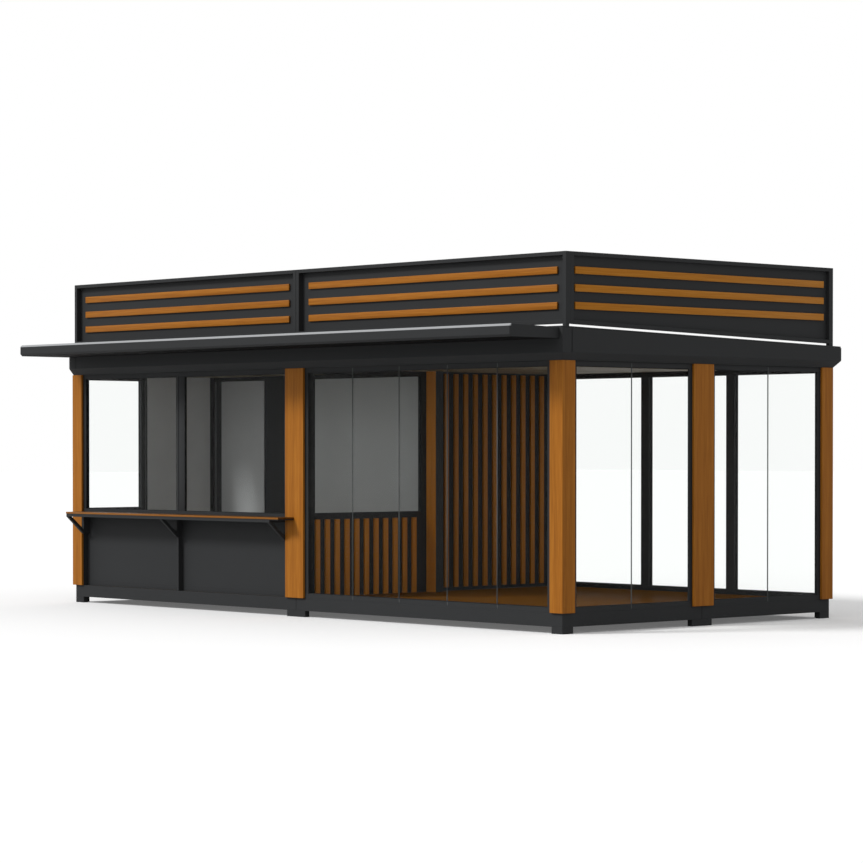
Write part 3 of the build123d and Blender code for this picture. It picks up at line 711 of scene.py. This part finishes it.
# Stiffeners on the inner faces of the parapet sheets
sheets = solid_boxes("parapet_sheets")
screen_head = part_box("parapet_sheets")[1][Z] - SCREEN_HEAD_GAP
front_sheet_back = min(high[Y] for low, high in sheets)
left_sheet_back = min(high[X] for low, high in sheets)
right_sheet_back = max(low[X] for low, high in sheets)
stiffeners = [box(around(x, STIFFENER_WIDTH), (front_sheet_back, front_sheet_back + STIFFENER_DEPTH),
                  screen_span(FRONT_STIFFENER_Y)) for x in FRONT_STIFFENERS]
for y in SIDE_STIFFENERS:
    for x in (left_sheet_back, right_sheet_back - STIFFENER_DEPTH):
        stiffeners.append(box((x, x + STIFFENER_DEPTH), around(y, STIFFENER_WIDTH), screen_span(y)))
bars("parapet_stiffeners", stiffeners, Z, 2 * MM, steel, "anthracite_metal")

# Cover strips over the joints of the closed wall panels
back_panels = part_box("back_wall_panels")[1][Y]
left_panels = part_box("left_wall_panels")[0][X]
covers = [box(around(x, WALL_COVER_WIDTH), (back_panels, back_panels + WALL_COVER_DEPTH), between_tracks)
          for x in BACK_WALL_JOINTS]
covers.append(box((left_panels - WALL_COVER_DEPTH, left_panels), around(LEFT_WALL_JOINT, WALL_COVER_WIDTH),
                  between_tracks))
bars("wall_joint_covers", covers, Z, 1.5 * MM, steel, "anthracite_metal")

# Timber plugs over the fixings of the post cladding, at the head, middle and foot of each board
for name, across, side, face in (("front_cladding_plugs", Y, -1, clad_low[Y]),
                                 ("back_cladding_plugs", Y, 1, clad_high[Y]),
                                 ("left_cladding_plugs", X, -1, clad_low[X]),
                                 ("right_cladding_plugs", X, 1, clad_high[X])):
    columns = PLUG_COLUMNS[X if across == Y else Y]
    places = [(place, face, z) if across == Y else (face, place, z) for place in columns for z in PLUG_HEIGHTS]
    timber_plugs(name, places, across, side, PLUG_RADIUS, post_timber)

# Joints of the floor sheets and the ceiling boards
floor_low, floor_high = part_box("seating_room_floor")
ceiling_low, ceiling_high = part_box("ceiling")
bars("floor_sheet_joints",
     [box(around(floor_low[X] + count * SHEET_LENGTH, FLOOR_JOINT),
          (floor_low[Y] + FLOOR_JOINT_ENDS[0], floor_high[Y] - FLOOR_JOINT_ENDS[1]),
          (floor_level - 1 * MM, floor_level + FLOOR_JOINT_RISE)) for count in (1, 2)],
     Y, 0.4 * MM, rubber, "floor_sheet")
bars("ceiling_joint_strips",
     [box(around(floor_low[X] + count * SHEET_LENGTH, CEILING_STRIP), (ceiling_low[Y], ceiling_high[Y]),
          (ceiling_low[Z] - CEILING_STRIP_DROP, ceiling_low[Z] + 1 * MM)) for count in (1, 2, -1, -2)],
     Y, 1 * MM, ceiling_board, "beige_board")


# Studio: a pale floor, a white surround and soft lamps
def seen_rays(tree):
    """One for camera, glossy and transmission rays, so that gloss and glass see the camera's own white."""
    path = add(tree, "LightPath")
    seen = add(tree, "Math", {0: path.outputs["Is Camera Ray"], 1: path.outputs["Is Glossy Ray"]},
               operation="MAXIMUM")
    seen = add(tree, "Math", {0: seen.outputs[0], 1: path.outputs["Is Transmission Ray"]}, operation="MAXIMUM")
    return seen.outputs[0]


def studio_floor(half=150.0, lift=0.13):
    """Matt floor that shows as white to the camera, throws a greyer light back and keeps the shadow."""
    material, tree = new_material("studio floor")
    seen = seen_rays(tree)
    colour = add(tree, "Mix", {"Factor": seen, 6: linear(STUDIO_GREY), 7: linear(STUDIO_WHITE)},
                 data_type="RGBA")
    matt = add(tree, "BsdfDiffuse", {"Color": colour.outputs[2]})
    unlit = add(tree, "Emission", {"Strength": 0.0})
    lifted = add(tree, "Emission", {"Strength": lift})
    glow = add(tree, "MixShader", {0: seen, 1: unlit.outputs[0], 2: lifted.outputs[0]})
    shader = add(tree, "AddShader", {0: matt.outputs[0], 1: glow.outputs[0]})
    mesh = bpy.data.meshes.new("studio_floor")
    mesh.from_pydata([(-half, -half, 0), (half, -half, 0), (half, half, 0), (-half, half, 0)], [], [(0, 1, 2, 3)])
    mesh.materials.append(finish_material(material, tree, shader))
    floor = bpy.data.objects.new("studio_floor", mesh)
    bpy.context.collection.objects.link(floor)


def studio_world(fill=0.6):
    """White surround for the camera, glass and gloss, and a soft grey fill for everything else."""
    world = bpy.data.worlds.new("studio surround")
    world.use_nodes = True
    tree = world.node_tree
    tree.nodes.clear()
    strength = add(tree, "MapRange", {"Value": seen_rays(tree), "To Min": fill, "To Max": 1.0})
    light = add(tree, "Background", {"Color": PLAIN_WHITE, "Strength": strength.outputs[0]})
    add(tree, "OutputWorld", {"Surface": light.outputs[0]})
    bpy.context.scene.world = world


def aimed(heading, tilt):
    """Turn a lamp or camera, which looks straight down, up by the tilt and then round by the heading."""
    return Matrix.Rotation(radians(heading), 4, "Z") @ Matrix.Rotation(radians(tilt), 4, "X")


def sun_lamp(name, strength, heading, height, softness):
    """A distant lamp: heading is its place round the object from the front, height its angle above ground."""
    data = bpy.data.lights.new(name, "SUN")
    data.energy = strength
    data.angle = radians(softness)
    lamp = bpy.data.objects.new(name, data)
    lamp.matrix_world = aimed(heading, 90 - height)
    bpy.context.collection.objects.link(lamp)


studio_floor()
studio_world()
sun_lamp("key_lamp", strength=2.05, heading=-25, height=38, softness=14)
sun_lamp("low_front_lamp", strength=0.2, heading=-5, height=12, softness=30)

camera_data = bpy.data.cameras.new("camera")
camera_data.lens = CAMERA_LENS
camera_data.sensor_width = CAMERA_SENSOR
camera_data.sensor_fit = "AUTO"
camera_data.shift_y = CAMERA_SHIFT_UP
camera_data.clip_end = CAMERA_REACH
camera = bpy.data.objects.new("camera", camera_data)
camera.matrix_world = Matrix.Translation(CAMERA_PLACE) @ aimed(CAMERA_HEADING, 90 + CAMERA_PITCH)
bpy.context.collection.objects.link(camera)
bpy.context.scene.camera = camera
bpy.context.scene.view_settings.view_transform = "Standard"
